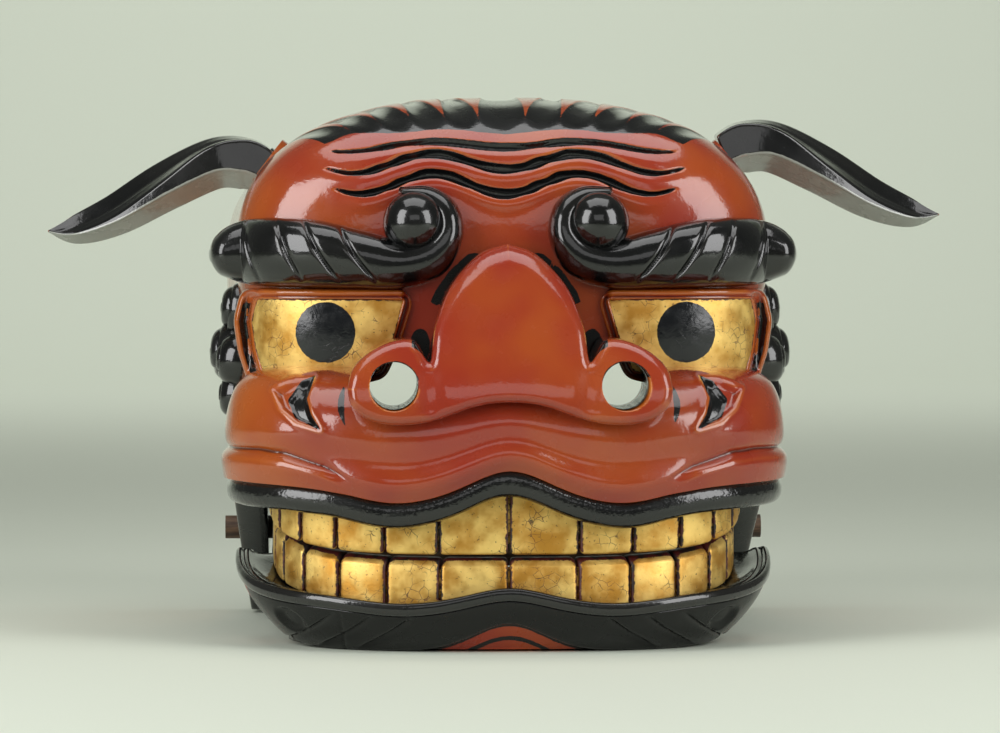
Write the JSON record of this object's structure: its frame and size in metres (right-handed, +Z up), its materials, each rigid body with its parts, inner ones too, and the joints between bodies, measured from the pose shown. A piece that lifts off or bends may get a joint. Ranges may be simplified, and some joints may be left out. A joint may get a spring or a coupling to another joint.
{
  "type": "lion dance mask",
  "caption": "Carved and lacquered wooden lion head for dance, with gilded teeth and eyes, a head that lifts from its jaw on a rear pivot rod, and ears that turn.",
  "frame": {"origin": "centre of the box's bottom face, on the surface that the jaw rests on, under the middle of the head", "axes": "+Z up, the face looks along -Y, +X is the mask's own left side"},
  "size_m": [0.4864, 0.288, 0.287],
  "materials": {
    "red_lacquer": "vermilion urushi lacquer, glossy",
    "black_lacquer": "black urushi lacquer, glossy",
    "gold_leaf": "gold leaf over red bole on carved wood",
    "bare_wood": "oiled turned wood, worn by hands"
  },
  "bodies": {
    "jaw": {"jaw_rim": "black_lacquer", "lower_teeth": "gold_leaf", "chin": "black_lacquer", "jaw_floor": "black_lacquer", "jaw_arm_left": "black_lacquer", "jaw_arm_right": "black_lacquer", "jaw_grip": "bare_wood"},
    "head": {"head_shell": "red_lacquer", "cheek_left": "red_lacquer", "cheek_right": "red_lacquer", "muzzle": "red_lacquer", "nose": "red_lacquer", "upper_lip": "black_lacquer", "upper_teeth": "gold_leaf", "brow_left": "black_lacquer", "brow_right": "black_lacquer", "eye_left": "gold_leaf", "eye_right": "gold_leaf", "eye_frame_left": "red_lacquer", "eye_frame_right": "red_lacquer", "side_curl_left": "black_lacquer", "side_curl_right": "black_lacquer", "pivot_rod": "bare_wood", "head_grip": "bare_wood", "ear_boss_left": "bare_wood", "ear_boss_right": "bare_wood"},
    "left_ear": {"ear_left": "black_lacquer", "ear_tenon_left": "bare_wood", "ear_peg_left": "bare_wood"},
    "right_ear": {"ear_right": "black_lacquer", "ear_tenon_right": "bare_wood", "ear_peg_right": "bare_wood"}
  },
  "joints": [
    {"name": "mouth", "type": "hinge", "parent": "jaw", "child": "head", "pos_m": [0, 0.122, 0.048], "axis": [-1, 0, 0], "range_deg": [0, 30]},
    {"name": "ear_left_turn", "type": "hinge", "parent": "head", "child": "left_ear", "pos_m": [0.12482, 0.03, 0.253], "axis": [0.7986, 0, 0.6018], "range_deg": [-25, 25]},
    {"name": "ear_right_turn", "type": "hinge", "parent": "head", "child": "right_ear", "pos_m": [-0.12482, 0.03, 0.253], "axis": [-0.7986, 0, 0.6018], "range_deg": [-25, 25]}
  ]
}
